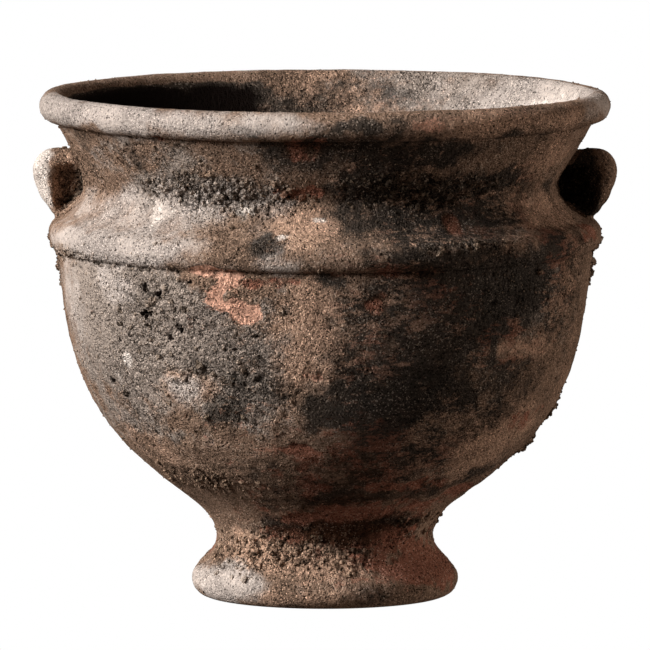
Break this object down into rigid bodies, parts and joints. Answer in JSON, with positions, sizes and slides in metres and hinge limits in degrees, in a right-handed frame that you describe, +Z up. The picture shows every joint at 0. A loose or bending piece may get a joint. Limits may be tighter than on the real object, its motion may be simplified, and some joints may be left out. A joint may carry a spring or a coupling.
{
  "type": "ancient footed clay pot",
  "caption": "Wide-mouthed fired clay pot on a flared ring foot, with a rolled lip, a raised ridge round the shoulder and small ear-shaped lugs, open and empty.",
  "frame": {"origin": "on the pot's turning axis, in the plane of the ring that the foot stands on", "axes": "+Z up along the turning axis, +X through one lug; -Y faces the viewer of the picture"},
  "size_m": [0.3682, 0.3592, 0.3194],
  "materials": {
    "fired_clay": "matte, weathered and sooty, with crusted soil"
  },
  "bodies": {
    "root": {"clay_pot": "fired_clay"}
  },
  "joints": []
}
